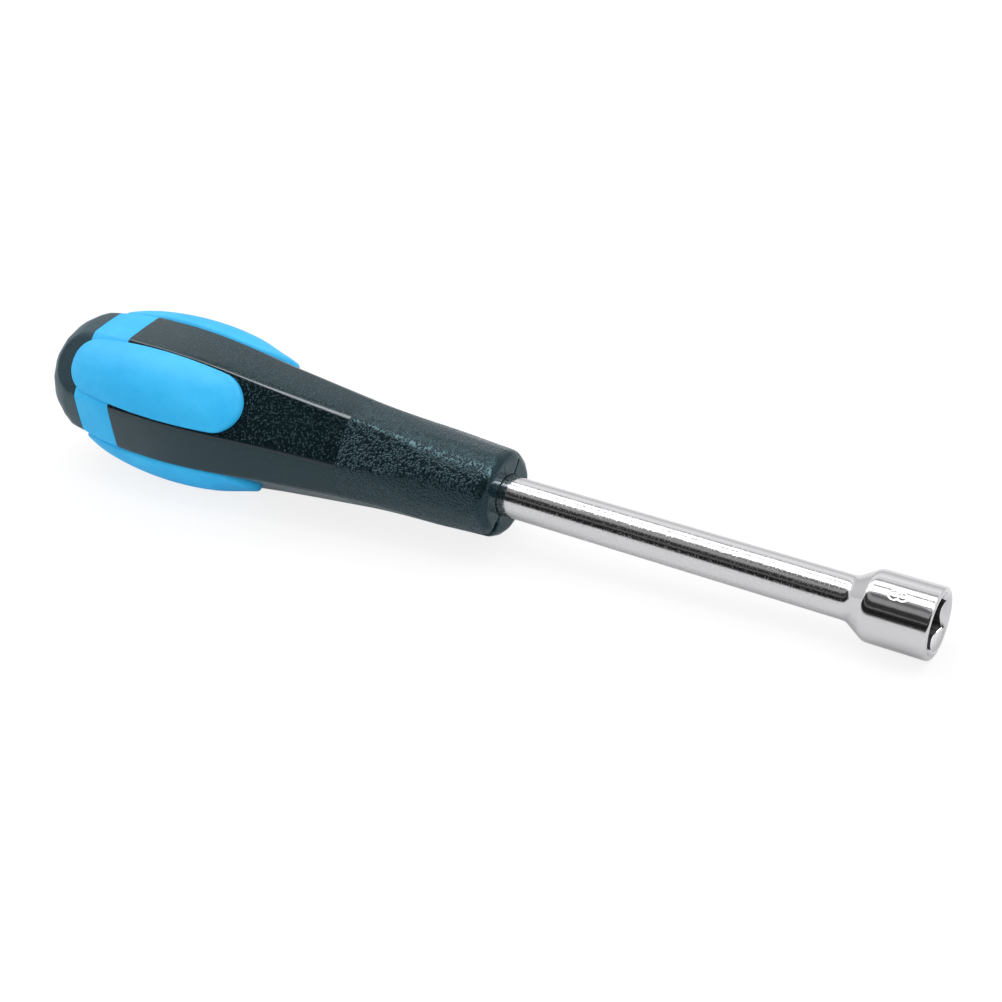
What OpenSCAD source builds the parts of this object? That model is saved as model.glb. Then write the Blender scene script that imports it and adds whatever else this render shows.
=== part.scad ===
// Nut driver with a fixed forged blade and a moulded two-colour handle.
// Frame: the tool's axis is X, the origin is the centre of the socket's mouth.
// The handle lies towards -X, and Z is up.
// The four soft grip pads sit on the diagonals between Y and Z, so the driver lies on two of them.

/* [Socket] */
// Width of the hex opening across its flats, a running fit on an 8 mm nut
hex_width = 8.1; // [7:0.05:8.6]
// Depth of the hex, from the mouth
hex_depth = 9; // [7:0.5:10]
// Outside diameter of the socket
socket_d = 12; // [11.5:0.1:13]
// Length of the socket's straight outside, from the mouth
socket_len = 10.3; // [9:0.1:12]
// Rounding of the mouth's outer edge, as a share of the wall at the hex corners
mouth_round_share = 0.42; // [0.2:0.02:0.48]
// Width of the lead-in bevel outside the hex corners, as a share of the wall there
lead_in_share = 0.45; // [0.1:0.05:0.5]
// Diameter of the drilled room for the end of a bolt, behind the hex
bolt_room_d = 6.8; // [5:0.1:6.9]
// Depth of the drilled room, from the mouth to the drill's shoulder
bolt_room_depth = 10.6; // [10.2:0.1:11.2]

/* [Shank] */
// Diameter of the round shank
shank_d = 7.5; // [6.6:0.1:8]
// Length of the forged neck between socket and shank
neck_len = 5.2; // [3.5:0.1:7]
// Reach of the blade from the handle's front face to the mouth
blade_reach = 79; // [60:1:120]
// Length of the tang inside the handle
tang_len = 72; // [64:1:80]
// Span of the two pressed wings that stop the tang from turning
wing_span = 12; // [9:0.1:13]
// Thickness of the wings
wing_thick = 2.6; // [1.6:0.1:4]
// Length of the wings along the tang
wing_len = 14; // [8:0.5:18]
// Bevel on the tang's end and slope of the wings' ends
tang_bevel = 1.2; // [0.4:0.1:2]

/* [Handle] */
// Length of the handle
handle_len = 106; // [88:0.5:126]
// Radius of the handle just behind its front edge
nose_r = 8; // [7.6:0.1:9]
// Rounding of the front edge
nose_round = 1.7; // [0.8:0.1:2]
// Radius at the waist
waist_r = 9.95; // [9.4:0.05:10.4]
// Place of the waist behind the front face, as a share of the handle's length
waist_share = 0.245; // [0.2:0.005:0.3]
// Radius where the handle swells
swell_r = 13.05; // [12.6:0.05:13.4]
// Place of the swell, as a share of the handle's length
swell_share = 0.49; // [0.46:0.005:0.51]
// Largest radius of the black body
belly_r = 15.3; // [15:0.05:15.6]
// Place of the largest radius, as a share of the handle's length
belly_share = 0.7075; // [0.69:0.0025:0.725]
// Depth of the four pad flats at the belly
flat_depth = 1.7; // [1.4:0.05:1.9]
// Depth of the pad flats at the end of the sleeve
sleeve_flat_depth = 0.9; // [0.5:0.05:1.1]
// How far the flats run out clear of the round nose and the dome
flat_runout = 0.4; // [0.2:0.05:0.6]
// Length of the grained front sleeve, as a share of the handle's length
sleeve_share = 0.29; // [0.26:0.002:0.32]
// Depth of the four panels between the flats, as a share of the flats' depth
panel_share = 0.43; // [0.3:0.01:0.44]
// Bevel round the shank in the front face
shank_bevel = 0.7; // [0.3:0.1:1.2]

/* [Soft grip] */
// Start of the ring behind the front face, as a share of the handle's length
ring_front_share = 0.783; // [0.774:0.001:0.8]
// End of the ring, where the butt cap starts, as a share of the handle's length
ring_rear_share = 0.879; // [0.869:0.002:0.889]
// Thickness of the ring below the body's flats
ring_deep = 2; // [1.2:0.1:2.4]
// Front tip of the pads, as a share of the handle's length
pad_front_share = 0.4925; // [0.472:0.0005:0.515]
// Rear end of the pads, as a share of the handle's length
pad_rear_share = 0.897; // [0.893:0.0005:0.908]
// Half of the pads' greatest width
pad_half = 6.6; // [6.2:0.05:6.8]
// Place of the greatest width, as a share of the handle's length
pad_wide_share = 0.689; // [0.665:0.001:0.71]
// Radius of the pads' bowed sides, seen from above
pad_side_r = 140; // [120:1:180]
// Length of the rounding at the pads' front end
pad_front_round = 5.4; // [4.5:0.1:6.5]
// Length of the rounding at the pads' rear end
pad_rear_round = 4.6; // [3.5:0.1:6]
// Height of the pads' crown above the axis
pad_crown = 16.6; // [16.3:0.05:17]
// Place of the crown, as a share of the handle's length
pad_crown_share = 0.7085; // [0.695:0.0005:0.725]
// Radius of the crown along the pad
pad_long_r = 80; // [76:1:100]
// Radius of the crown across the pad
pad_cross_r = 10.5; // [10:0.5:14]
// Radius that rounds the pads' two ends down to the flats, seen from the side
pad_end_r = 50; // [47:1:60]
// Height of that rounding's top above the crown
pad_end_rise = 1.35; // [1.2:0.05:1.6]
// Place of that rounding's top, as a share of the handle's length
pad_end_share = 0.7245; // [0.715:0.0005:0.735]
// How far the pads are let into the flats
pad_seat = 0.6; // [0.3:0.1:0.8]
// Diameter of the plugs that anchor each pad
plug_d = 4.4; // [3:0.1:5]
// Depth of the plugs below the pads' seat
plug_depth = 2; // [1:0.1:2.4]

/* [Inner core] */
// Radius of the core under the sleeve
core_front_r = 5.6; // [5.2:0.1:6]
// Radius of the core under the body
core_r = 7.4; // [6.6:0.1:7.6]
// Start of the core behind the front face
core_start = 3; // [2.4:0.1:4]
// Height of the keys and locking rings above the core
key_height = 1; // [0.6:0.1:1.1]
// Width of the four keys and of the locking rings
key_width = 3; // [2:0.1:4]
// How far the core's spigot reaches into the butt cap
spigot_len = 6; // [4:0.1:6.6]

/* [Hidden] */
$fn = 96;
// Overrun of every cut past the face that it opens
over = 1;
// Cosine of half a hex corner, from across flats to across corners
hex_share = cos(30);
// Steps of the handle's outline, of a flat, of a rounded edge and of the dome
body_steps = 24;
flat_steps = 15;
round_steps = 5;
dome_steps = 10;
// Slopes of the handle's outline at its front, waist and swell
nose_slope_share = 0.05;
waist_slope_share = 0.1;
swell_slope_share = 0.15;
// Fullness of the dome, where 2 is an ellipse
dome_power = 3;
// Fullness of the neck's shoulder, where 1 is an even slope on both sides
neck_power = 1.8;

waist_at = handle_len * waist_share;
swell_at = handle_len * swell_share;
belly_at = handle_len * belly_share;
sleeve_len = handle_len * sleeve_share;
ring_front = handle_len * ring_front_share;
ring_rear = handle_len * ring_rear_share;
pad_front = handle_len * pad_front_share;
pad_rear = handle_len * pad_rear_share;
pad_wide_at = handle_len * pad_wide_share;
pad_crown_at = handle_len * pad_crown_share;
pad_end_at = handle_len * pad_end_share;

hex_r = hex_width / 2 / hex_share;
socket_r = socket_d / 2;
shank_r = shank_d / 2;
socket_wall = socket_r - hex_r;
mouth_round = socket_wall * mouth_round_share;
lead_in_r = hex_r + socket_wall * lead_in_share;
tang_end = blade_reach + tang_len;
wing_at = blade_reach + swell_at;
core_end = ring_rear + spigot_len;
flat_d = belly_r - flat_depth;
ring_floor_r = flat_d - ring_deep;
// A pad direction faces each of these turns about the axis; a hex corner shares one of them
pad_turns = [45, 135, 225, 315];
// The panels face these turns, between the pads
panel_turns = [0, 90];

// Piece to show

// A smooth curve between two stations, from their values and slopes
function blend(u, a, b, slope_a, slope_b, span) =
    a * (2 * u * u * u - 3 * u * u + 1) + b * (3 * u * u - 2 * u * u * u)
    + span * (slope_a * (u * u * u - 2 * u * u + u) + slope_b * (u * u * u - u * u));

// Radius of the black handle at a distance behind the front face, without the front edge's rounding
function body_r(h) =
    h < waist_at ? blend(h / waist_at, nose_r, waist_r, nose_slope_share, waist_slope_share, waist_at)
    : h < swell_at ? blend((h - waist_at) / (swell_at - waist_at), waist_r, swell_r,
        waist_slope_share, swell_slope_share, swell_at - waist_at)
    : h < belly_at ? blend((h - swell_at) / (belly_at - swell_at), swell_r, belly_r,
        swell_slope_share, 0, belly_at - swell_at)
    : belly_r * pow(1 - pow((h - belly_at) / (handle_len - belly_at), dome_power), 1 / dome_power);

// Depth of the pad flats below the round handle, negative where they run clear of it
function sag(h) =
    h < sleeve_len ? blend(h / sleeve_len, -flat_runout, sleeve_flat_depth, 0, 0, sleeve_len)
    : h < belly_at ? blend((h - sleeve_len) / (belly_at - sleeve_len), sleeve_flat_depth, flat_depth,
        0, 0, belly_at - sleeve_len)
    : flat_depth;

// Radius of the forged neck, from a full shoulder at the socket to a tight hollow at the shank
function neck_r(u) = shank_r + (socket_r - shank_r) * (1 + cos(180 * pow(u, neck_power))) / 2;

// The round handle's outline, [radius, distance], from the front edge to the butt
outline = concat(
    [for (i = [0 : round_steps])
        let (a = 90 * i / round_steps, h = nose_round * (1 - cos(a)))
        [body_r(h) - nose_round * (1 - sin(a)), h]],
    [for (i = [1 : body_steps])
        let (h = nose_round + (belly_at - nose_round) * i / body_steps)
        [body_r(h), h]],
    [for (i = [1 : dome_steps])
        let (a = 90 * i / dome_steps, bend = 2 / dome_power)
        [belly_r * pow(cos(a), bend), belly_at + (handle_len - belly_at) * pow(sin(a), bend)]]
);

// The line of a flat or panel along the handle, [distance from the axis, distance behind the front face],
// for a share of the flats' depth
function side_line(share) = [for (i = [0 : flat_steps])
    let (h = ring_rear * i / flat_steps)
    [body_r(h) - share * sag(h), h]];

// Lays a shape built up from the mouth along Z down along the tool's axis
module along_tool() {
    rotate([0, -90, 0])
        children();
}

// Moves a shape to the handle's front face
module in_handle() {
    translate([0, 0, blade_reach])
        children();
}

module round_handle() {
    rotate_extrude()
        polygon(concat([[0, handle_len], [0, 0]], outline));
}

// A bar with two opposite faces that follow the flats or the panels, lowered by a depth.
// They run on straight past the ring.
module side_bar(share, lower) {
    line = side_line(share);
    last = line[flat_steps];
    slope = (last[0] - line[flat_steps - 1][0]) * flat_steps / ring_rear;
    past = handle_len + over;
    up = concat(
        [[line[0][0] - lower, -over]],
        [for (p = line) [p[0] - lower, p[1]]],
        [[last[0] + slope * (past - ring_rear) - lower, past]]
    );
    down = [for (i = [len(up) - 1 : -1 : 0]) [-up[i][0], up[i][1]]];
    rotate([90, 0, 0])
        linear_extrude(height = 3 * belly_r, center = true)
            polygon(concat(up, down));
}

// The whole black outside, a round handle with four long flats and four panels between them
module black_outside() {
    intersection() {
        round_handle();
        rotate([0, 0, pad_turns[0]])
            side_bar(1, 0);
        rotate([0, 0, pad_turns[1]])
            side_bar(1, 0);
        rotate([0, 0, panel_turns[0]])
            side_bar(panel_share, 0);
        rotate([0, 0, panel_turns[1]])
            side_bar(panel_share, 0);
    }
}

// A round slice of the handle between two distances
module slice(from, to, r) {
    translate([0, 0, from])
        cylinder(r = r, h = to - from);
}

// Half width of a pad at a distance, without the rounding of its ends
function pad_side(h) = pad_half - (h - pad_wide_at) * (h - pad_wide_at) / (2 * pad_side_r);

// One side of a pad's outline, [half width, distance], from its front tip to its rear end
pad_edge = concat(
    [for (i = [0 : round_steps])
        let (a = 90 * i / round_steps, h = pad_front + pad_front_round * (1 - cos(a)))
        [pad_side(h) * sin(a), h]],
    [for (i = [1 : 2 * round_steps - 1])
        let (from = pad_front + pad_front_round, to = pad_rear - pad_rear_round)
        let (h = from + (to - from) * i / (2 * round_steps))
        [pad_side(h), h]],
    [for (i = [0 : round_steps])
        let (a = 90 * i / round_steps, h = pad_rear - pad_rear_round * (1 - sin(a)))
        [pad_side(h) * cos(a), h]]
);

// Tongue outline of a pad
function tongue() = concat(
    pad_edge,
    [for (i = [len(pad_edge) - 2 : -1 : 1]) [-pad_edge[i][0], pad_edge[i][1]]]
);

// The room that a pad takes, outwards from its seat in the flat, on the +X side
module pad_room() {
    difference() {
        translate([pad_cross_r / 2, 0, 0])
            rotate([90, 0, 90])
                linear_extrude(height = pad_crown)
                    polygon(tongue());
        side_bar(1, pad_seat);
    }
}

// The crown over a pad: a barrel, round across the pad and along it
module pad_barrel() {
    translate([pad_crown - pad_cross_r, 0, 0])
        rotate_extrude()
            intersection() {
                translate([pad_cross_r - pad_long_r, pad_crown_at])
                    circle(r = pad_long_r, $fn = 360);
                translate([0, pad_front - over])
                    square([pad_cross_r + over, pad_rear - pad_front + 2 * over]);
            }
}

// The wider roll that rounds off both ends of a pad
module pad_roll() {
    translate([pad_crown + pad_end_rise - pad_end_r, 0, pad_end_at])
        rotate([90, 0, 0])
            cylinder(r = pad_end_r, h = 2 * belly_r, center = true, $fn = 360);
}

// Round plugs under a pad, from inside the pad down into the body
module pad_plugs() {
    for (h = [pad_front + 2 * pad_front_round, ring_front - pad_half])
        translate([flat_d - pad_seat - plug_depth, 0, h])
            rotate([0, 90, 0])
                cylinder(d = plug_d, h = plug_depth + pad_seat + over);
}

module at_each_pad() {
    for (turn = pad_turns)
        rotate([0, 0, turn])
            children();
}

module blade() {
    color("silver")
        along_tool()
            difference() {
                union() {
                    rotate_extrude()
                        polygon(concat(
                            [[0, 0]],
                            [for (i = [0 : round_steps])
                                let (a = 90 * i / round_steps)
                                [socket_r - mouth_round * (1 - sin(a)), mouth_round * (1 - cos(a))]],
                            [for (i = [0 : 2 * round_steps])
                                let (u = i / (2 * round_steps))
                                [neck_r(u), socket_len + u * neck_len]],
                            [
                                [shank_r, tang_end - tang_bevel],
                                [shank_r - tang_bevel, tang_end],
                                [0, tang_end]
                            ]
                        ));
                    translate([0, 0, wing_at])
                        rotate([90, 0, -pad_turns[0]])
                            linear_extrude(height = wing_thick, center = true)
                                polygon([
                                    [-wing_span / 2, tang_bevel],
                                    [-wing_span / 2 + tang_bevel, 0],
                                    [wing_span / 2 - tang_bevel, 0],
                                    [wing_span / 2, tang_bevel],
                                    [wing_span / 2, wing_len - tang_bevel],
                                    [wing_span / 2 - tang_bevel, wing_len],
                                    [-wing_span / 2 + tang_bevel, wing_len],
                                    [-wing_span / 2, wing_len - tang_bevel]
                                ]);
                }
                rotate([0, 0, -pad_turns[0]])
                    translate([0, 0, -over])
                        cylinder(r = hex_r, h = hex_depth + over, $fn = 6);
                translate([0, 0, -over])
                    cylinder(r1 = lead_in_r + over, r2 = 0, h = lead_in_r + over);
                cylinder(d = bolt_room_d, h = bolt_room_depth);
                translate([0, 0, bolt_room_depth])
                    cylinder(d1 = bolt_room_d, d2 = 0, h = bolt_room_d / 2 / sqrt(3));
            }
}

// The core's outside, which the outer mouldings are moulded on
module core_outside() {
    slice(core_start, sleeve_len + over, core_front_r);
    slice(sleeve_len, ring_rear, core_r);
    slice(ring_rear - over, core_end, core_front_r);
    for (h = [sleeve_len / 3, 2 * sleeve_len / 3])
        slice(h, h + key_width, core_front_r + key_height);
    for (turn = [0, 90])
        rotate([0, 0, turn])
            translate([-core_r - key_height, -key_width / 2, sleeve_len])
                cube([2 * (core_r + key_height), key_width, ring_rear - sleeve_len]);
    slice(core_end - key_width, core_end - key_width / 2, core_front_r + key_height);
}

module inner_core() {
    color("dimgray")
        difference() {
            along_tool()
                in_handle()
                    core_outside();
            blade();
        }
}

module front_sleeve() {
    color([0.16, 0.17, 0.18])
        along_tool()
            in_handle()
                difference() {
                    intersection() {
                        black_outside();
                        slice(-over, sleeve_len, 2 * belly_r);
                    }
                    core_outside();
                    slice(-over, core_start + over, shank_r);
                    translate([0, 0, -over])
                        cylinder(r1 = shank_r + shank_bevel + over, r2 = shank_r, h = shank_bevel + over);
                }
}

module handle_body() {
    color([0.22, 0.23, 0.24])
        along_tool()
            in_handle()
                difference() {
                    intersection() {
                        black_outside();
                        slice(sleeve_len, ring_rear, 2 * belly_r);
                    }
                    core_outside();
                    difference() {
                        slice(ring_front, ring_rear + over, 2 * belly_r);
                        slice(ring_front - over, ring_rear + 2 * over, ring_floor_r);
                    }
                    at_each_pad() {
                        pad_room();
                        pad_plugs();
                    }
                }
}

module soft_grip() {
    color([0.25, 0.68, 0.95])
        along_tool()
            in_handle() {
                difference() {
                    intersection() {
                        black_outside();
                        slice(ring_front, ring_rear, 2 * belly_r);
                    }
                    slice(ring_front - over, ring_rear + over, ring_floor_r);
                }
                at_each_pad() {
                    intersection() {
                        pad_room();
                        pad_barrel();
                        pad_roll();
                    }
                    pad_plugs();
                }
            }
}

module butt_cap() {
    color([0.2, 0.21, 0.22])
        along_tool()
            in_handle()
                difference() {
                    intersection() {
                        black_outside();
                        slice(ring_rear, handle_len + over, 2 * belly_r);
                    }
                    core_outside();
                    at_each_pad()
                        pad_room();
                }
}

blade();
inner_core();
front_sleeve();
handle_body();
soft_grip();
butt_cap();
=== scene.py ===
"""Looks of an 8 mm nut driver: a chrome blade in a black moulded handle with blue soft pads, on the CAD frame."""

import math

import bmesh
import bpy
import numpy as np
from mathutils import Matrix


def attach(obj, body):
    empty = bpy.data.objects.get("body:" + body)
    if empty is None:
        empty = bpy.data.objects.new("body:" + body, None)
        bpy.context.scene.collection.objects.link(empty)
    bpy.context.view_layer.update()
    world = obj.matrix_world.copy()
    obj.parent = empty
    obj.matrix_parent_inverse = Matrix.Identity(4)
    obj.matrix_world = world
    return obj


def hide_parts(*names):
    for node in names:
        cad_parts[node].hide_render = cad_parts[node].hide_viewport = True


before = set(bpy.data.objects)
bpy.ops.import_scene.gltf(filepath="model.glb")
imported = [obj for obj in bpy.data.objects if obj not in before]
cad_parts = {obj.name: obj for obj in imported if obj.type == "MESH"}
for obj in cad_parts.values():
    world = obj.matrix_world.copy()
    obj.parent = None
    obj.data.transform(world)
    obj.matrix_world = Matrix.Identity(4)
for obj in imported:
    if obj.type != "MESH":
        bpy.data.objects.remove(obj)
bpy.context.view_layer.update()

# Sizes in millimetres, as the CAD source has them, but for the neck, the countersink round the shank and the pads'
# ends, which follow the photograph more closely. Distances h along the handle start at its front face.
MM = 0.001
REACH = 79.0
HEX_WIDTH, HEX_DEPTH = 8.1, 9.0
SOCKET_R = 6.0
HEX_R = HEX_WIDTH / 2 / math.cos(math.pi / 6)
MOUTH_ROUND, LEAD_IN_R = 0.42 * (SOCKET_R - HEX_R), HEX_R + 0.45 * (SOCKET_R - HEX_R)
BOLT_ROOM_R, BOLT_ROOM_DEPTH = 3.4, 10.6
BOLT_ROOM_END = -BOLT_ROOM_DEPTH - BOLT_ROOM_R / math.sqrt(3)
SHANK_R, NECK_END = 3.75, -15.5
# The neck, from the socket's rounded shoulder down a straight cone to a tight hollow: places from the mouth and radii
NECK = ((-10.0, 6.0), (-10.4, 5.96), (-10.8, 5.87), (-11.05, 5.74), (-11.3, 5.58), (-11.6, 5.39), (-12.2, 5.0),
        (-12.8, 4.62), (-13.4, 4.23), (-13.75, 4.02), (-14.0, 3.9), (-14.3, 3.81), (-14.7, 3.76), (NECK_END, 3.75))
TANG_LEN, TANG_BEVEL = 72.0, 1.2
WING_SPAN, WING_THICK, WING_LEN = 12.0, 2.6, 14.0
HANDLE_LEN = 106.0
NOSE_R, NOSE_ROUND, SHANK_BEVEL = 8.0, 1.7, 0.25
WAIST_R, SWELL_R, BELLY_R = 9.95, 13.05, 15.3
WAIST_AT, SWELL_AT, BELLY_AT = 0.245 * HANDLE_LEN, 0.49 * HANDLE_LEN, 0.7075 * HANDLE_LEN
NOSE_SLOPE, WAIST_SLOPE, SWELL_SLOPE = 0.05, 0.1, 0.15
SLEEVE_LEN, FLAT_RUNOUT, SLEEVE_FLAT, BODY_FLAT, PANEL_SHARE = 0.29 * HANDLE_LEN, 0.4, 0.9, 1.7, 0.43
RING_FRONT, RING_REAR, RING_FLOOR_R = 0.783 * HANDLE_LEN, 0.879 * HANDLE_LEN, 11.6
PAD_FRONT, PAD_REAR, PAD_SEAT = 0.4945 * HANDLE_LEN, 0.9025 * HANDLE_LEN, 0.6
PAD_HALF, PAD_WIDE_AT, PAD_SIDE_R = 6.6, 0.689 * HANDLE_LEN, 140.0
PAD_FRONT_ROUND, PAD_REAR_ROUND = 5.4, 4.6
PAD_CROWN, PAD_CROWN_AT, PAD_LONG_R, PAD_CROSS_R = 16.6, 0.7085 * HANDLE_LEN, 80.0, 10.5
PAD_END_R, PAD_END_RISE, PAD_END_AT = 50.0, 1.35, 0.7245 * HANDLE_LEN
CORE_FRONT_R, CORE_R, CORE_START = 5.6, 7.4, 3.0
# The pads face these ways about the axis, in degrees from +Y towards +Z
PAD_TURNS = (45, 135, 225, 315)

# Forms that are finer than the CAD source's: heights, widths and depths, and where along the handle they start and end
PANEL_CROWN, STEP_GROOVE = 0.1, 0.1
BEVEL_WIDTH, BEVEL_GAIN, BEVEL_END = 0.26, 0.66, 64.0
SLANT_START, SLANT_RISE, SLANT_END, SLANT_FALL = 44.0, 7.0, 104.0, 9.0
SLANT_BACK, SLANT_PER_MM = 0.5, 0.045
PAD_WALL, WALL_DROP, WALL_DROP_START, WALL_DROP_LEN = 0.65, 0.3, 80.0, 7.0
TIP_HEIGHT, TIP_END, TIP_LEN, TIP_HALF, TIP_FALL = 1.72, 58.5, 6.5, 6.0, 0.7
TAIL_START, TAIL_FALL = 88.5, 0.72
PAD_EDGE, TIP_EDGE, TIP_EDGE_END, TIP_EDGE_LEN = 0.3, 0.4, 57.0, 4.0
SLEEVE_SOFT, RING_SOFT, CAP_SOFT, DOME_SOFT = 0.55, 0.7, 0.6, 0.9
# The studio in metres: the height of the lamps, the radius of the walls round the driver, and the room's middle
LAMP_HIGH, WALL_R, ROOM_X = 0.5, 0.9, -0.17


def srgb(code):
    """Linear colour of an sRGB hex value."""
    parts = [int(code[i:i + 2], 16) / 255 for i in (1, 3, 5)]
    return [p / 12.92 if p <= 0.04045 else ((p + 0.055) / 1.055) ** 2.4 for p in parts] + [1.0]


def per_mm(size):
    """Scale of a pattern whose features are this many millimetres apart."""
    return 1 / (size * MM)


def add(tree, kind, sockets=None, stops=(), **settings):
    """Adds a node with its settings: sockets gives each input a value or the output that it is linked to, and
    stops gives a colour ramp its points, each a place and a grey or a hex colour."""
    made = tree.nodes.new(kind)
    for name, value in settings.items():
        setattr(made, name, value)
    for name, value in (sockets or {}).items():
        if isinstance(value, bpy.types.NodeSocket):
            tree.links.new(value, made.inputs[name])
        else:
            made.inputs[name].default_value = value
    for i, (place, tone) in enumerate(stops):
        stop = made.color_ramp.elements[i] if i < 2 else made.color_ramp.elements.new(place)
        stop.position = place
        stop.color = srgb(tone) if isinstance(tone, str) else (tone, tone, tone, 1.0)
    return made


def new_finish(name):
    """An empty material: its tree, its surface shader and the place on the object in metres."""
    finish = bpy.data.materials.new(name)
    finish.use_nodes = True
    tree = finish.node_tree
    shader = tree.nodes["Principled BSDF"]
    place = add(tree, "ShaderNodeTexCoord").outputs["Object"]
    return finish, tree, shader, place


def chrome_plated_steel():
    """Polished forging under bright chrome: crisp mirror bands, with a fine speckle where the shank's plating is
    slightly rough, which shows in its dark bands."""
    finish, tree, shader, place = new_finish("chrome_plated_forged_steel")
    shader.inputs["Metallic"].default_value = 1.0
    shader.inputs["Base Color"].default_value = srgb("#CDCDCF")
    x = add(tree, "ShaderNodeSeparateXYZ", {"Vector": place}).outputs["X"]
    shank = add(tree, "ShaderNodeMapRange", {"Value": x, "From Min": -11 * MM, "From Max": -16 * MM,
                                             "To Min": 0.14, "To Max": 0.28}).outputs["Result"]
    # The pits are some 0.05 mm across; they are drawn five times as coarse, to show at the photograph's size
    pits = add(tree, "ShaderNodeTexNoise", {"Vector": place, "Scale": per_mm(0.26), "Detail": 1.0}).outputs["Fac"]
    rough = add(tree, "ShaderNodeMapRange", {"Value": pits, "From Min": 0.46, "From Max": 0.66,
                                             "To Min": 0.05, "To Max": shank}).outputs["Result"]
    along = add(tree, "ShaderNodeMapping", {"Vector": place, "Scale": (0.25, 1, 1)}).outputs["Vector"]
    belt = add(tree, "ShaderNodeTexNoise", {"Vector": along, "Scale": per_mm(0.5), "Detail": 2.0}).outputs["Fac"]
    bump = add(tree, "ShaderNodeBump", {"Height": belt, "Strength": 0.5, "Distance": 0.012 * MM})
    tree.links.new(rough, shader.inputs["Roughness"])
    tree.links.new(bump.outputs["Normal"], shader.inputs["Normal"])
    return finish


def broached_steel():
    """Inside of the hex: broached, unplated steel, dull from its roughness; its near-black colour is painted shade of
    the deep hex.
    """
    finish, tree, shader, place = new_finish("broached_steel_painted_shade")
    shader.inputs["Metallic"].default_value = 1.0
    along = add(tree, "ShaderNodeMapping", {"Vector": place, "Scale": (0.05, 1, 1)}).outputs["Vector"]
    marks = add(tree, "ShaderNodeTexNoise", {"Vector": along, "Scale": per_mm(0.3), "Detail": 2.0}).outputs["Fac"]
    # Near-black steel tones: painted shade inside the hex, over the broach marks' real variation
    tone = add(tree, "ShaderNodeValToRGB", {"Fac": marks}, stops=[(0.3, "#202021"), (0.7, "#454546")])
    tree.links.new(tone.outputs["Color"], shader.inputs["Base Color"])
    shader.inputs["Roughness"].default_value = 0.42
    bump = add(tree, "ShaderNodeBump", {"Height": marks, "Strength": 0.3, "Distance": 0.03 * MM})
    tree.links.new(bump.outputs["Normal"], shader.inputs["Normal"])
    return finish


def black_moulding(name, grain, depth, cover, rough, tones, tint="#BDF1FF"):
    """Black polypropylene with a spark-eroded mould grain: cold grey where it mirrors the light, with fine glints
    off the grains' sides where it mirrors the dark. The nose is polished in the mould, so it has no grain.
    grain is the grains' spacing in mm, about twice the real one so that it shows, depth is their height in mm, and
    cover is the share of the spacing that a grain's radius takes. rough is the least and the most roughness, tones
    are the plastic's own dark and light, but for the ridges' bevels a lighter pair that is painted highlight, and tint
    is the colour of what it mirrors."""
    finish, tree, shader, place = new_finish(name)
    shader.inputs["IOR"].default_value = 1.48
    shader.inputs["Specular Tint"].default_value = srgb(tint)
    shader.inputs["Sheen Weight"].default_value = 0.12
    shader.inputs["Sheen Tint"].default_value = srgb("#5FC0E6")
    x = add(tree, "ShaderNodeSeparateXYZ", {"Vector": place}).outputs["X"]
    behind = add(tree, "ShaderNodeMapRange", {"Value": x, "From Min": (-REACH - 0.6) * MM,
                                              "From Max": (-REACH - 2.2) * MM})
    cells = add(tree, "ShaderNodeTexVoronoi", {"Vector": place, "Scale": per_mm(grain)}).outputs["Distance"]
    grains = add(tree, "ShaderNodeMapRange", {"Value": cells, "From Min": cover, "From Max": 0.0},
                 interpolation_type="SMOOTHSTEP").outputs["Result"]
    bump = add(tree, "ShaderNodeBump", {"Height": grains, "Strength": behind.outputs["Result"], "Distance": depth * MM})
    fine = add(tree, "ShaderNodeTexNoise", {"Vector": place, "Scale": per_mm(grain * 0.8),
                                            "Detail": 2.0}).outputs["Fac"]
    shade = add(tree, "ShaderNodeValToRGB", {"Fac": fine}, stops=[(0.38, tones[0]), (0.66, tones[1])])
    clouds = add(tree, "ShaderNodeTexNoise", {"Vector": place, "Scale": per_mm(5), "Detail": 3.0}).outputs["Fac"]
    shine = add(tree, "ShaderNodeMapRange", {"Value": clouds, "From Min": 0.3, "From Max": 0.7,
                                             "To Min": rough[0], "To Max": rough[1]}).outputs["Result"]
    polish = add(tree, "ShaderNodeMapRange", {"Value": behind.outputs["Result"], "To Min": 0.12, "To Max": shine})
    tree.links.new(shade.outputs["Color"], shader.inputs["Base Color"])
    tree.links.new(polish.outputs["Result"], shader.inputs["Roughness"])
    tree.links.new(bump.outputs["Normal"], shader.inputs["Normal"])
    return finish


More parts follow.
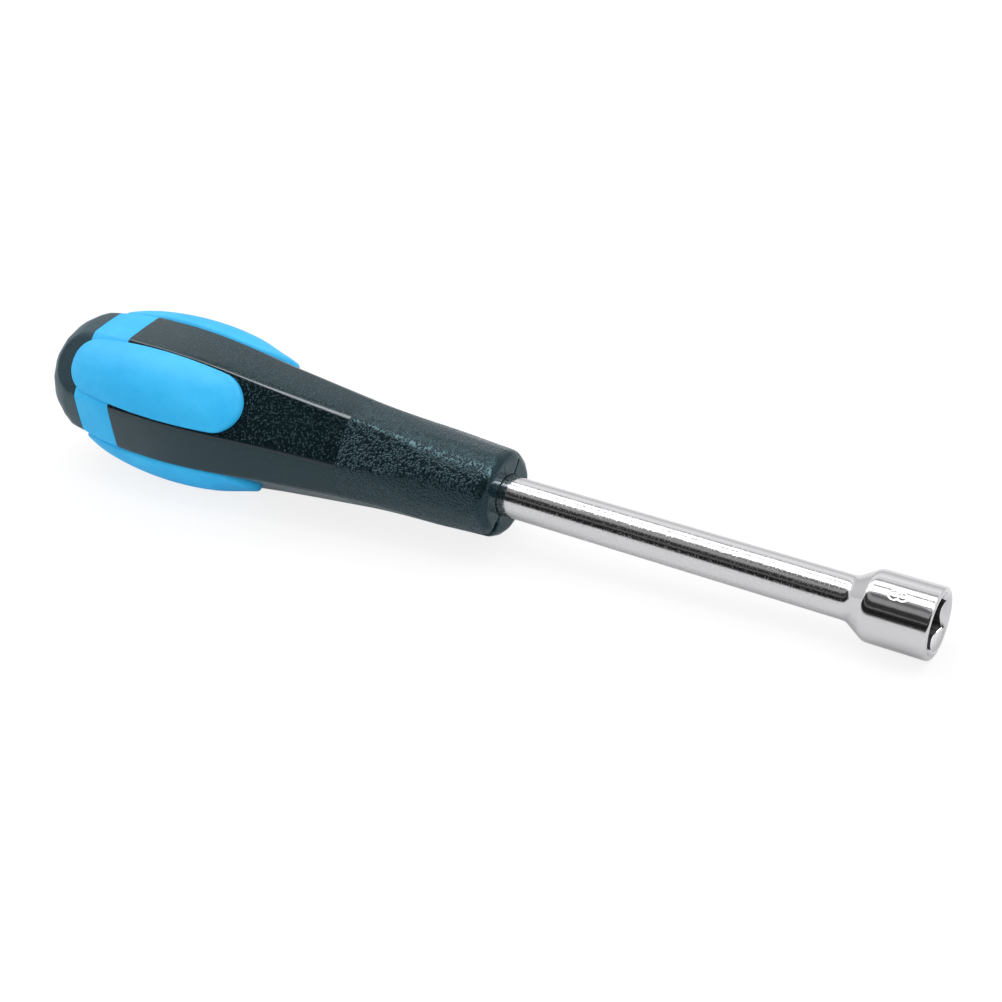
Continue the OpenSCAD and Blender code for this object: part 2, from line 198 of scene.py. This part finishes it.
def blue_elastomer():
    """Sky-blue thermoplastic rubber, moulded smooth: matt, a little milky, with the odd pale speck of dust. Its fine
    skin is drawn coarser than it is, so that it shows."""
    finish, tree, shader, place = new_finish("sky_blue_thermoplastic_rubber")
    shader.inputs["IOR"].default_value = 1.48
    shader.inputs["Specular IOR Level"].default_value = 0.25
    shader.inputs["Roughness"].default_value = 0.55
    clouds = add(tree, "ShaderNodeTexNoise", {"Vector": place, "Scale": per_mm(9), "Detail": 6.0,
                                              "Roughness": 0.7}).outputs["Fac"]
    blue = add(tree, "ShaderNodeValToRGB", {"Fac": clouds}, stops=[(0.25, "#1FAEEE"), (0.75, "#3CC3FB")])
    specks = add(tree, "ShaderNodeTexVoronoi", {"Vector": place, "Scale": per_mm(9)}).outputs["Distance"]
    dust = add(tree, "ShaderNodeMapRange", {"Value": specks, "From Min": 0.012, "From Max": 0.03,
                                            "To Min": 0.5, "To Max": 0.0}).outputs["Result"]
    tone = add(tree, "ShaderNodeMix", {"Factor": dust, "A": blue.outputs["Color"], "B": srgb("#C5E8FA")},
               data_type="RGBA")
    skin_grain = add(tree, "ShaderNodeTexNoise", {"Vector": place, "Scale": per_mm(0.35), "Detail": 2.0})
    bump = add(tree, "ShaderNodeBump", {"Height": skin_grain.outputs["Fac"], "Strength": 0.35, "Distance": 0.03 * MM})
    tree.links.new(tone.outputs["Result"], shader.inputs["Base Color"])
    tree.links.new(bump.outputs["Normal"], shader.inputs["Normal"])
    return finish


def skin(name, rows, loop, sharp=28):
    """Mesh over rings of points in mm: each ring joins the next, and with loop the last joins the first."""
    count, width = len(rows), len(rows[0])
    faces = []
    for i in range(count if loop else count - 1):
        a, b = i * width, (i + 1) % count * width
        faces += [(a + k, a + (k + 1) % width, b + (k + 1) % width, b + k) for k in range(width)]
    mesh = bpy.data.meshes.new(name)
    mesh.from_pydata((np.concatenate(rows) * MM).tolist(), [], faces)
    clean(mesh, sharp)
    return mesh


def clean(mesh, sharp):
    """Welds meeting points, turns the faces outwards, and smooths all but the sharp edges."""
    work = bmesh.new()
    work.from_mesh(mesh)
    bmesh.ops.remove_doubles(work, verts=work.verts, dist=0.002 * MM)
    bmesh.ops.dissolve_degenerate(work, edges=work.edges, dist=0.001 * MM)
    bmesh.ops.recalc_face_normals(work, faces=work.faces)
    work.to_mesh(mesh)
    work.free()
    mesh.shade_smooth()
    mesh.set_sharp_from_angle(angle=math.radians(sharp))


def piece(name, mesh, node, slot, *finishes):
    """Puts a finished mesh in the scene in place of a CAD node."""
    made = bpy.data.objects.new(name, mesh)
    bpy.context.scene.collection.objects.link(made)
    for finish in finishes:
        mesh.materials.append(finish)
    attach(made, "root")
    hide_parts(node)
    return made


def about_axis(x, r, turns):
    """Points at x along the tool and r from its axis, one for each turn in degrees."""
    turns = np.radians(turns)
    return np.stack([np.broadcast_to(x, turns.shape), r * np.cos(turns), r * np.sin(turns)], 1)


def size_mark(x, turns):
    """Depth of the stamped size, a plain 8 that lies along the socket: two rings struck with a rounded edge."""
    middle, turn, half_width, stroke, deep = -5.9, 116.0, 0.6, 0.15, 0.075
    across = np.radians(turns - turn) * SOCKET_R
    depth = np.zeros(len(turns))
    for centre, size in ((middle - 0.7, 0.68), (middle + 0.6, 0.58)):
        out = np.hypot((x - centre) / size, across / (half_width * size / 0.68))
        depth = np.maximum(depth, np.exp(-(((out - 1) * size / stroke) ** 2)))
    return deep * depth


def blade_mesh():
    """Socket with its hex and wide lead-in, forged neck, shank and hidden tang, turned about the axis."""
    turns = np.unique(np.concatenate([np.arange(-45, 315, 2.5), np.arange(100, 133, 0.7)]))
    hex_half = np.radians((turns + 45) % 60 - 30)
    hex_r = HEX_WIDTH / 2 / np.cos(hex_half)
    rows = [
        about_axis(BOLT_ROOM_END, 0.0, turns),
        about_axis(-BOLT_ROOM_DEPTH, BOLT_ROOM_R, turns),
        about_axis(-HEX_DEPTH, BOLT_ROOM_R, turns),
        about_axis(-HEX_DEPTH, hex_r, turns),
        about_axis(hex_r - LEAD_IN_R - 0.06, hex_r, turns),
        about_axis(hex_r - LEAD_IN_R + 0.05, hex_r + 0.05, turns),
        about_axis(-0.08, LEAD_IN_R - 0.08, turns),
        about_axis(0.0, LEAD_IN_R + 0.06, turns),
    ]
    for a in np.radians(np.linspace(0, 90, 9)):
        rows.append(about_axis(-MOUTH_ROUND * (1 - np.cos(a)), SOCKET_R - MOUTH_ROUND * (1 - np.sin(a)), turns))
    for x in np.concatenate([[-1.5, -2.5], np.arange(-3.6, -8.3, -0.09), [-9.5]]):
        rows.append(about_axis(x, SOCKET_R - size_mark(x, turns), turns))
    for x, r in NECK:
        rows.append(about_axis(x, r, turns))
    tang_end = -REACH - TANG_LEN
    for x in np.linspace(NECK_END - 4, tang_end + TANG_BEVEL, 24):
        rows.append(about_axis(x, SHANK_R, turns))
    rows.append(about_axis(tang_end, SHANK_R - TANG_BEVEL, turns))
    rows.append(about_axis(tang_end, 0.0, turns))
    return skin("forged_blade", rows, loop=False)


def add_wings(mesh):
    """The two wings pressed out of the tang, which stop it from turning in the handle."""
    half, thick = WING_SPAN / 2, WING_THICK / 2
    start, end = -REACH - SWELL_AT, -REACH - SWELL_AT - WING_LEN
    outline = [(start - TANG_BEVEL, -half), (start, TANG_BEVEL - half), (start, half - TANG_BEVEL),
               (start - TANG_BEVEL, half), (end + TANG_BEVEL, half), (end, half - TANG_BEVEL),
               (end, TANG_BEVEL - half), (end + TANG_BEVEL, -half)]
    lie = math.radians(PAD_TURNS[1])
    work = bmesh.new()
    work.from_mesh(mesh)
    sides = []
    for side in (-thick, thick):
        sides.append([work.verts.new((x * MM, (s * math.cos(lie) - side * math.sin(lie)) * MM,
                                      (s * math.sin(lie) + side * math.cos(lie)) * MM)) for x, s in outline])
    new = [work.faces.new(sides[0]), work.faces.new(sides[1][::-1])]
    for k in range(len(outline)):
        after = (k + 1) % len(outline)
        new.append(work.faces.new((sides[0][after], sides[0][k], sides[1][k], sides[1][after])))
    bmesh.ops.recalc_face_normals(work, faces=new)
    work.to_mesh(mesh)
    work.free()


def hermite(u, a, b, slope_a, slope_b, span):
    """A smooth curve between two stations, from their values and slopes."""
    return (a * (2 * u ** 3 - 3 * u ** 2 + 1) + b * (3 * u ** 2 - 2 * u ** 3)
            + span * (slope_a * (u ** 3 - 2 * u ** 2 + u) + slope_b * (u ** 3 - u ** 2)))


def body_r(h):
    """Radius of the black handle, without its front edge's rounding."""
    if h < WAIST_AT:
        return hermite(h / WAIST_AT, NOSE_R, WAIST_R, NOSE_SLOPE, WAIST_SLOPE, WAIST_AT)
    if h < SWELL_AT:
        span = SWELL_AT - WAIST_AT
        return hermite((h - WAIST_AT) / span, WAIST_R, SWELL_R, WAIST_SLOPE, SWELL_SLOPE, span)
    if h < BELLY_AT:
        span = BELLY_AT - SWELL_AT
        return hermite((h - SWELL_AT) / span, SWELL_R, BELLY_R, SWELL_SLOPE, 0, span)
    return BELLY_R * max(0.0, 1 - ((h - BELLY_AT) / (HANDLE_LEN - BELLY_AT)) ** 3) ** (1 / 3)


def sag(h):
    """Depth of the pad flats below the round handle."""
    if h < SLEEVE_LEN:
        return hermite(h / SLEEVE_LEN, -FLAT_RUNOUT, SLEEVE_FLAT, 0, 0, SLEEVE_LEN)
    if h < BELLY_AT:
        span = BELLY_AT - SLEEVE_LEN
        return hermite((h - SLEEVE_LEN) / span, SLEEVE_FLAT, BODY_FLAT, 0, 0, span)
    return BODY_FLAT


def side_at(h, share=1.0):
    """Distance from the axis of a flat, or of a panel for a share of the flats' depth; straight over the dome."""
    if h <= RING_REAR:
        return body_r(h) - share * sag(h)
    step = RING_REAR / 15
    last = body_r(RING_REAR) - share * sag(RING_REAR)
    slope = (last - body_r(RING_REAR - step) + share * sag(RING_REAR - step)) / step
    return last + slope * (h - RING_REAR)


def soft_min(a, b, k):
    """The smaller of two heights, with the edge between them rounded over a height k."""
    near = np.maximum(k - np.abs(a - b), 0) / k
    return np.minimum(a, b) - near * near * k / 4


def handle_ring(h, r=None, soft=0.05, bevel=0.0, first=(0.0,), shrink=0.0):
    """Section of the black outside at h: four flats and four panels in a round of radius r, with the ridges
    between them bevelled to a width or rounded off. Gives radii and turns, which are close at the ridges."""
    lower = 0.0 if r is None or h > NOSE_ROUND else body_r(h) - r
    r = body_r(h) if r is None else r
    flat, panel = side_at(h) - lower, side_at(h, PANEL_SHARE) - lower
    lean = math.radians(22.5)
    corner = flat * math.cos(lean) + (panel * math.sqrt(2) - flat) * math.sin(lean)
    cut = corner - bevel / 2 * math.tan(lean) if bevel else 2 * r
    near = max(math.degrees(math.acos(min(1.0, flat / r))), 1.5)
    far = 45 - max(math.degrees(math.acos(min(1.0, panel / r))), 1.5)
    if bevel:
        near = math.degrees(math.atan2((cut - flat * math.cos(lean)) / math.sin(lean), flat))
        far = 45 - math.degrees(math.atan2((cut - panel * math.cos(lean)) / math.sin(lean), panel))
    edge = math.degrees((0.06 + soft / 4) / max(r, 4.0))
    first = np.array(first)
    near = min(max(near, first[-1] + edge + 0.3), 40.0)
    far = min(max(far, near + 2.2 * edge), 44.0)
    half = np.concatenate([
        first, first[-1] + (near - edge - first[-1]) * np.array([0.3, 0.6, 0.85]),
        [near - edge, near, near + edge, (near + far) / 2, far - edge, far, far + edge],
        far + edge + (45 - far - edge) * np.array([0.25, 0.5, 0.75, 1]),
    ])
    turns = np.concatenate([np.concatenate([half, 90 - half[-2:0:-1]]) + turn for turn in PAD_TURNS])
    off = np.radians((turns - 45) % 90)
    off = np.minimum(off, math.pi / 2 - off)
    crowned = panel + PANEL_CROWN * np.clip(1 - ((math.pi / 4 - off) / math.radians(45 - far)) ** 2, 0, 1)
    radii = soft_min(flat / np.cos(off), crowned / np.cos(math.pi / 4 - off), soft)
    radii = soft_min(radii, cut / np.cos(off - lean), soft)
    return soft_min(radii, np.full(len(turns), r + (0.3 if bevel else 0.0)), min(soft, 0.12)) - shrink, turns


def slant(points):
    """Leans the soft grip and what borders on it back on the +Y side, as the moulding sits on the handle."""
    h = -REACH - points[:, 0]
    share = np.clip((h - SLANT_START) / SLANT_RISE, 0, 1) * np.clip((SLANT_END - h) / SLANT_FALL, 0, 1)
    share = share * share * (3 - 2 * share)
    return points - np.stack([share * (SLANT_BACK + SLANT_PER_MM * points[:, 1]), 0 * h, 0 * h], 1)


def ridge_bevel(h):
    """Width of the bevel along the body's ridges: plain at the sleeve and narrowing to a crisp edge by the pads."""
    return BEVEL_WIDTH + BEVEL_GAIN * min(1.0, max(0.0, (BEVEL_END - h) / (BEVEL_END - SLEEVE_LEN)))


def along_handle(h, ring):
    """A ring of the handle as points at h behind the front face."""
    return slant(about_axis(-REACH - h, *ring))


def seam_shift(turns, r, h):
    """Depth of the mould's parting line, a groove over the front face that opens into a notch at its lower end."""
    deep, half_width, notch_deep, notch_half_width = 0.25, 0.13, 0.4, 0.25
    depth = np.zeros(len(turns))
    for turn, widen in ((46, 0.0), (222, 1.0)):
        across = np.radians((turns - turn + 180) % 360 - 180) * r
        notch = widen * np.clip((r - 4.7) / 0.6, 0, 1) * np.clip((2.6 - h) / 0.8, 0, 1)
        groove = np.exp(-((across / (half_width + notch_half_width * notch)) ** 2))
        depth = np.maximum(depth, (deep + notch_deep * notch) * groove)
    return depth


def sleeve_mesh():
    """Front sleeve: face with the parting line, rounded nose, soft ridges, and the bore for core and shank."""
    rows = []
    face = NOSE_R - NOSE_ROUND
    profile = [(SHANK_BEVEL + 1.0, SHANK_R, (0, 1)), (SHANK_BEVEL, SHANK_R, (-0.7, -0.7)),
               (0.06, SHANK_R + SHANK_BEVEL - 0.05, (-0.7, -0.7)), (0.0, SHANK_R + SHANK_BEVEL + 0.08, (-1, 0))]
    profile += [(0.0, r, (-1, 0)) for r in np.linspace(SHANK_R + SHANK_BEVEL + 0.3, face, 7)]
    for a in np.radians(np.linspace(0, 90, 15))[1:]:
        h = NOSE_ROUND * (1 - math.cos(a))
        profile.append((h, body_r(h) - NOSE_ROUND * (1 - math.sin(a)), (-math.cos(a), math.sin(a))))
    profile += [(h, body_r(h), (0, 1)) for h in np.linspace(NOSE_ROUND, SLEEVE_LEN, 52)[1:]]
    for h, r, (out_h, out_r) in profile:
        first = np.degrees(np.array([0, 0.08, 0.16, 0.28, 0.45, 0.7]) / r)
        radii, turns = handle_ring(h, r, soft=SLEEVE_SOFT, first=first)
        deep = seam_shift(turns, r, h) if 0 <= h < 3 and r > SHANK_R + 0.1 else 0
        rows.append(about_axis(-REACH - h - deep * max(0.0, -out_h), radii - deep * max(0.0, out_r), turns))
    for h, r in ((SLEEVE_LEN, CORE_FRONT_R), (CORE_START, CORE_FRONT_R), (CORE_START, SHANK_R)):
        rows.append(about_axis(-REACH - h, r, turns))
    return skin("front_sleeve", rows, loop=True)


def body_mesh():
    """Handle body: flats, panels and bevelled ridges, then the neck that the soft ring closes on."""
    rows = []
    for h in np.concatenate([np.linspace(SLEEVE_LEN, RING_FRONT - STEP_GROOVE, 60), [RING_FRONT]]):
        radii, turns = handle_ring(h, bevel=ridge_bevel(h), shrink=STEP_GROOVE if h == RING_FRONT else 0.0)
        rows.append(along_handle(h, (radii, turns)))
    for h, r in ((RING_FRONT, RING_FLOOR_R), (RING_REAR, RING_FLOOR_R), (RING_REAR, CORE_R), (SLEEVE_LEN, CORE_R)):
        rows.append(along_handle(h, (r, turns)))
    return skin("handle_body", rows, loop=True)


def cap_mesh():
    """Butt cap: the dome, with the flats and panels fading out over it."""
    rows = [along_handle(RING_REAR, (CORE_FRONT_R, handle_ring(RING_REAR)[1]))]
    rows.append(along_handle(RING_REAR, handle_ring(RING_REAR, soft=CAP_SOFT, shrink=STEP_GROOVE)))
    start = math.asin(((RING_REAR + STEP_GROOVE - BELLY_AT) / (HANDLE_LEN - BELLY_AT)) ** 1.5)
    for a in np.linspace(start, math.pi / 2, 48):
        h = min(BELLY_AT + (HANDLE_LEN - BELLY_AT) * math.sin(a) ** (2 / 3), HANDLE_LEN)
        fade = min(1.0, (h - RING_REAR) / (HANDLE_LEN - RING_REAR))
        r = max(BELLY_R * max(math.cos(a), 0.0) ** (2 / 3), 0.001)
        rows.append(along_handle(h, handle_ring(h, r, soft=CAP_SOFT + DOME_SOFT * fade)))
    return skin("butt_cap", rows, loop=False)


def pad_top(across, h):
    """Height of a pad over the axis: a barrel crown with both ends rolled off, a low wall all round, and a full tip."""
    flat = np.array([side_at(x) for x in h])
    reach = PAD_CROSS_R - PAD_LONG_R + np.sqrt(PAD_LONG_R ** 2 - (h - PAD_CROWN_AT) ** 2)
    barrel = PAD_CROWN - PAD_CROSS_R + np.sqrt(reach ** 2 - across ** 2)
    roll = PAD_CROWN + PAD_END_RISE - PAD_END_R + np.sqrt(PAD_END_R ** 2 - (h - PAD_END_AT) ** 2)
    wall = PAD_WALL - WALL_DROP * np.clip((h - WALL_DROP_START) / WALL_DROP_LEN, 0, 1)
    tip = TIP_HEIGHT * np.sqrt(np.clip(1 - (np.maximum(TIP_END - h, 0) / TIP_LEN) ** 2, 0, 1))
    tip = tip * (1 - TIP_FALL * (across / TIP_HALF) ** 2)
    wall = np.maximum(wall, np.where(h < TIP_END, tip, 0))
    top = -soft_min(-soft_min(barrel, roll, 0.6), -flat - wall, 0.4)
    last = np.clip((h - TAIL_START) / (PAD_REAR - TAIL_START), 0, 1)
    return flat + (top - flat) * np.sqrt(1 - TAIL_FALL * last ** 2)


def pad_rows():
    """One pad on the axis's +Y side, as rings from its seat over its rounded edge to its spine."""
    turns = np.radians(np.linspace(0, 90, 16))
    front, rear = PAD_FRONT + PAD_FRONT_ROUND, PAD_REAR - PAD_REAR_ROUND
    sides = np.linspace(front, rear, 26)[1:-1]
    h = np.concatenate([PAD_FRONT + PAD_FRONT_ROUND * (1 - np.cos(turns)), sides,
                        PAD_REAR - PAD_REAR_ROUND * (1 - np.sin(turns))])
    half = PAD_HALF - (h - PAD_WIDE_AT) ** 2 / (2 * PAD_SIDE_R)
    half *= np.concatenate([np.sin(turns), np.ones(len(sides)), np.cos(turns)])
    h, half = np.concatenate([h, h[-2:0:-1]]), np.concatenate([half, -half[-2:0:-1]])
    step_h, step_half = np.roll(h, -1) - np.roll(h, 1), np.roll(half, -1) - np.roll(half, 1)
    long = np.hypot(step_h, step_half)
    in_h, in_half = step_half / long, -step_h / long
    edge = PAD_EDGE + TIP_EDGE * np.clip((TIP_EDGE_END - h) / TIP_EDGE_LEN, 0, 1)

    def ring(inset, drop, share=0.0, seated=False):
        at_h, across = h + inset * in_h, half + inset * in_half
        at_h, across = at_h + share * (np.clip(at_h, front, rear) - at_h), across * (1 - share)
        seat = np.array([side_at(x) - PAD_SEAT for x in at_h])
        return np.stack([-REACH - at_h, seat if seated else pad_top(across, at_h) - drop, across], 1)

    rows = [ring(0, 0, 1.0, seated=True), ring(0, 0, seated=True)]
    for b in np.radians(np.linspace(0, 90, 9)):
        rows.append(ring(edge * (1 - np.cos(b)), edge * (1 - np.sin(b))))
    for share in (0.08, 0.18, 0.3, 0.42, 0.56, 0.7, 0.85, 1.0):
        rows.append(ring(edge, 0, share))
    return rows


def grip_mesh():
    """Soft grip: the ring, flush with the panels, and four pads that stand proud of it, moulded in one shot."""
    work = bmesh.new()
    rows = []
    middle = [(h, 0.0) for h in np.linspace(RING_FRONT, RING_REAR, 16)[1:-1]]
    for h, under in ((RING_FRONT, STEP_GROOVE), (RING_FRONT + STEP_GROOVE, 0.0), *middle,
                     (RING_REAR - STEP_GROOVE, 0.0), (RING_REAR, STEP_GROOVE)):
        radii, turns = handle_ring(h, soft=RING_SOFT, shrink=under)
        rows.append(along_handle(h, (radii, turns)))
    rows += [along_handle(h, (RING_FLOOR_R, turns)) for h in (RING_REAR, RING_FRONT)]
    work.from_mesh(skin("grip_ring", rows, loop=True))
    pad = pad_rows()
    for turn in PAD_TURNS:
        turned = np.array(Matrix.Rotation(math.radians(turn), 3, "X"))
        work.from_mesh(skin("grip_pad", [slant(row @ turned.T) for row in pad], loop=False))
    mesh = bpy.data.meshes.new("soft_grip")
    work.to_mesh(mesh)
    work.free()
    mesh.shade_smooth()
    mesh.set_sharp_from_angle(angle=math.radians(28))
    return mesh


def sweep_floor():
    """Pale paper under the driver, which lies on its socket and its pads."""
    lowest_pad, gap = 14.86, 0.05
    slope = math.atan2(lowest_pad - SOCKET_R, REACH + PAD_CROWN_AT)
    work = bmesh.new()
    bmesh.ops.create_grid(work, x_segments=8, y_segments=8, size=0.32)
    mesh = bpy.data.meshes.new("floor")
    work.to_mesh(mesh)
    work.free()
    floor = bpy.data.objects.new("floor", mesh)
    bpy.context.scene.collection.objects.link(floor)
    floor.matrix_world = (Matrix.Translation((0, 0, -(SOCKET_R + gap) * MM)) @ Matrix.Rotation(-slope, 4, "Y")
                          @ Matrix.Translation((ROOM_X, 0, 0)))
    paper, tree, shader, _ = new_finish("white_sweep_paper")
    # Seen directly the paper mostly glows, which leaves only a soft shadow; mirrors see less of the glow, and what
    # falls on other surfaces is the light off plain paper
    seen = shown_background(tree, 0.15)
    tone = add(tree, "ShaderNodeValToRGB", {"Fac": seen}, stops=[(0.0, "#EFEFEF"), (1.0, "#787878")])
    glow = add(tree, "ShaderNodeMath", {0: seen, 1: 0.82}, operation="MULTIPLY")
    shader.inputs["Roughness"].default_value = 0.9
    shader.inputs["Specular IOR Level"].default_value = 0.1
    shader.inputs["Emission Color"].default_value = (1, 1, 1, 1)
    tree.links.new(tone.outputs["Color"], shader.inputs["Base Color"])
    tree.links.new(glow.outputs[0], shader.inputs["Emission Strength"])
    mesh.materials.append(paper)


def strip_lights():
    """Two long soft strips overhead, with a dark gap between them that the chrome shows."""
    long, radiance = 1.2, 1.7
    for name, front, rear in (("front_strip_light", -0.085, 0.075), ("rear_strip_light", 0.128, 0.3)):
        lamp = bpy.data.lights.new(name, "AREA")
        lamp.shape, lamp.size, lamp.size_y = "RECTANGLE", long, rear - front
        lamp.energy = radiance * math.pi * long * (rear - front)
        made = bpy.data.objects.new(name, lamp)
        made.location = (ROOM_X, (front + rear) / 2, LAMP_HIGH)
        made.visible_camera = False
        bpy.context.scene.collection.objects.link(made)


def room_cards():
    """What mirrors see of the room: a bright tube in the front strip, the lamps' frame, and the walls by height."""
    for name, up, front, rear, level in (("front_tube", -0.01, -0.03, 0.06, 10.0),
                                         ("light_frame", 0.02, -0.14, 0.4, 0.5)):
        work = bmesh.new()
        work.faces.new([work.verts.new((x, y, LAMP_HIGH + up)) for x, y in
                        ((-1.0, front), (0.6, front), (0.6, rear), (-1.0, rear))])
        hidden_card(name, work, level, [(0.0, 1.0), (1.0, 1.0)])
    walls = (
        ("dark_room", -78, 80, 70, [
            (0.04, 0.9), (0.1, 0.65), (0.14, 0.22), (0.18, 0.04), (0.34, 0.012), (0.45, 0.04), (0.5, 0.23),
            (0.55, 0.05), (0.66, 0.04), (0.71, 0.06), (0.755, 0.4), (0.85, 0.4), (0.89, 0.17), (0.94, 0.2)]),
        ("back_wall", 85, 275, 42, [(0.0, 0.8), (0.14, 0.75), (0.3, 0.88), (0.44, 1.1), (0.57, 1.25), (0.66, 1.0)]),
    )
    for name, left, right, top_edge, tones in walls:
        work = bmesh.new()
        around, up = np.radians(np.linspace(left, right, 38)), np.radians(np.linspace(2, top_edge, 30))
        grid = [[work.verts.new((WALL_R * math.sin(a) * math.cos(e), -WALL_R * math.cos(a) * math.cos(e),
                                 WALL_R * math.sin(e))) for a in around] for e in up]
        for low, top in zip(grid, grid[1:]):
            for k in range(len(low) - 1):
                work.faces.new((low[k], low[k + 1], top[k + 1], top[k]))
        hidden_card(name, work, 1.0, tones)


def white_world():
    """White surround for the eye and for mirrors, and a little less of it as light on the driver."""
    world = bpy.data.worlds.new("white_studio")
    bpy.context.scene.world = world
    world.use_nodes = True
    tree = world.node_tree
    level = add(tree, "ShaderNodeMapRange", {"Value": shown_background(tree, 1.0), "To Min": 0.75, "To Max": 1.0})
    sky = tree.nodes["Background"]
    sky.inputs["Color"].default_value = (1, 1, 1, 1)
    tree.links.new(level.outputs["Result"], sky.inputs["Strength"])


def shown_background(tree, mirrored):
    """One for what the camera sees directly, a share of it for what it sees in a mirror or through glass, and zero
    for the light that falls on other surfaces."""
    path = add(tree, "ShaderNodeLightPath").outputs
    passed = add(tree, "ShaderNodeMath", {0: path["Is Glossy Ray"], 1: path["Is Transmission Ray"]},
                 operation="MAXIMUM")
    share = add(tree, "ShaderNodeMath", {0: passed.outputs[0], 1: mirrored}, operation="MULTIPLY")
    return add(tree, "ShaderNodeMath", {0: path["Is Camera Ray"], 1: share.outputs[0]},
               operation="MAXIMUM").outputs[0]


def hidden_card(name, work, level, tones):
    """A studio card that only mirrors see: it glows at a level, in tones by its height over the driver."""
    mesh = bpy.data.meshes.new(name)
    work.to_mesh(mesh)
    work.free()
    card = bpy.data.objects.new(name, mesh)
    bpy.context.scene.collection.objects.link(card)
    finish, tree, shader, place = new_finish(name)
    up = add(tree, "ShaderNodeSeparateXYZ", {"Vector": place}).outputs["Z"]
    share = add(tree, "ShaderNodeMapRange", {"Value": up, "From Max": WALL_R}).outputs["Result"]
    tone = add(tree, "ShaderNodeValToRGB", {"Fac": share}, stops=tones).outputs["Color"]
    glow = add(tree, "ShaderNodeEmission", {"Color": tone, "Strength": level})
    tree.nodes.remove(shader)
    tree.links.new(glow.outputs["Emission"], tree.nodes["Material Output"].inputs["Surface"])
    mesh.materials.append(finish)
    card.visible_camera = card.visible_diffuse = card.visible_shadow = False


def photo_camera():
    """The camera that took the photograph: its place in mm, and its right, down and forward directions."""
    tilt, roll, spin = math.radians(28.603), math.radians(16.854), math.radians(45 - 3.6)
    along = np.array([math.cos(tilt) * math.cos(roll), math.cos(tilt) * math.sin(roll), -math.sin(tilt)])
    below = np.array([-math.sin(roll), math.cos(roll), 0])
    towards = np.array([-math.sin(tilt) * math.cos(roll), -math.sin(tilt) * math.sin(roll), -math.cos(tilt)])
    near = np.array([0, -math.cos(spin), math.sin(spin)])
    under = np.array([0, -math.sin(spin), -math.cos(spin)])
    turn = np.outer(along, [1, 0, 0]) + np.outer(towards, near) + np.outer(below, under)
    # In pixels, then in mm: the point of the axis that the camera was fitted to, how far off it is, and its place
    focal, size, seen_x, seen_y = 1616.0, 1002, 526.759, 500.814
    far, behind_mouth = 284.612, 74.943
    start = np.array([(seen_x - size / 2) / focal, (seen_y - size / 2) / focal, 1]) * far + behind_mouth * along
    eye = bpy.data.cameras.new("photo_camera")
    eye.sensor_width = 36.0
    eye.lens = focal / size * eye.sensor_width
    eye.clip_start, eye.clip_end = 0.005, 20
    made = bpy.data.objects.new("photo_camera", eye)
    place = Matrix((turn.T @ np.diag([1, -1, -1])).tolist()).to_4x4()
    place.translation = (-turn.T @ start * MM).tolist()
    made.matrix_world = place
    bpy.context.scene.collection.objects.link(made)
    bpy.context.scene.camera = made


chrome, broached = chrome_plated_steel(), broached_steel()
grained = black_moulding("grained_black_polypropylene", grain=0.42, depth=0.13, cover=0.66, rough=(0.18, 0.24),
                         tones=("#020506", "#1B2A2F"))
satin = black_moulding("satin_black_polypropylene", grain=0.38, depth=0.066, cover=0.44, rough=(0.12, 0.17),
                       tones=("#030809", "#0D181B"))
# The bevels' lighter tones are a painted highlight along the ridges; their low roughness is the real polish of rubbed
# edges
polished_bevel_painted_highlight = black_moulding("polished_black_polypropylene_painted_highlight", grain=0.4, depth=0.004, cover=0.35, rough=(0.09, 0.15),
                        tones=("#0A1416", "#13212A"), tint="#F2FBFF")
matt = black_moulding("matt_black_polypropylene", grain=0.4, depth=0.04, cover=0.4, rough=(0.4, 0.46),
                      tones=("#0F1C21", "#1F343C"))
soft_blue = blue_elastomer()

blade = piece("forged_blade", blade_mesh(), "blade", "chrome_steel", chrome, broached)
for face in blade.data.polygons:
    out = math.hypot(face.center.y, face.center.z)
    # The hex and the bolt room are broached and take the steel whose near-black is painted shade; the lead-in's cone,
    # which faces the mouth, is plated
    inside = out < (HEX_R + 0.01) * MM and BOLT_ROOM_END * MM < face.center.x < -0.05 * MM
    face.material_index = int(inside and (face.center.x < -1.4 * MM or face.normal.x < 0.3))
add_wings(blade.data)
piece("grained_front_sleeve", sleeve_mesh(), "front_sleeve", "grained_black", grained)
body = piece("satin_handle_body", body_mesh(), "handle_body", "satin_black", satin, polished_bevel_painted_highlight)
for face in body.data.polygons:
    # Halfway between the ways that a flat and a panel face are the ridges' bevels, which hands rub smooth; their
    # lighter tone is painted highlight
    lean = (math.degrees(math.atan2(face.normal.z, face.normal.y)) - 45) % 90
    face.material_index = int(12 < min(lean, 90 - lean) < 33)
piece("blue_soft_grip", grip_mesh(), "soft_grip", "soft_blue", soft_blue)
piece("butt_cap_dome", cap_mesh(), "butt_cap", "satin_black", matt)
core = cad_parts["inner_core"]
core.data.materials.clear()
core.data.materials.append(satin)

sweep_floor()
strip_lights()
room_cards()
white_world()
photo_camera()
bpy.context.scene.view_settings.view_transform = "Standard"
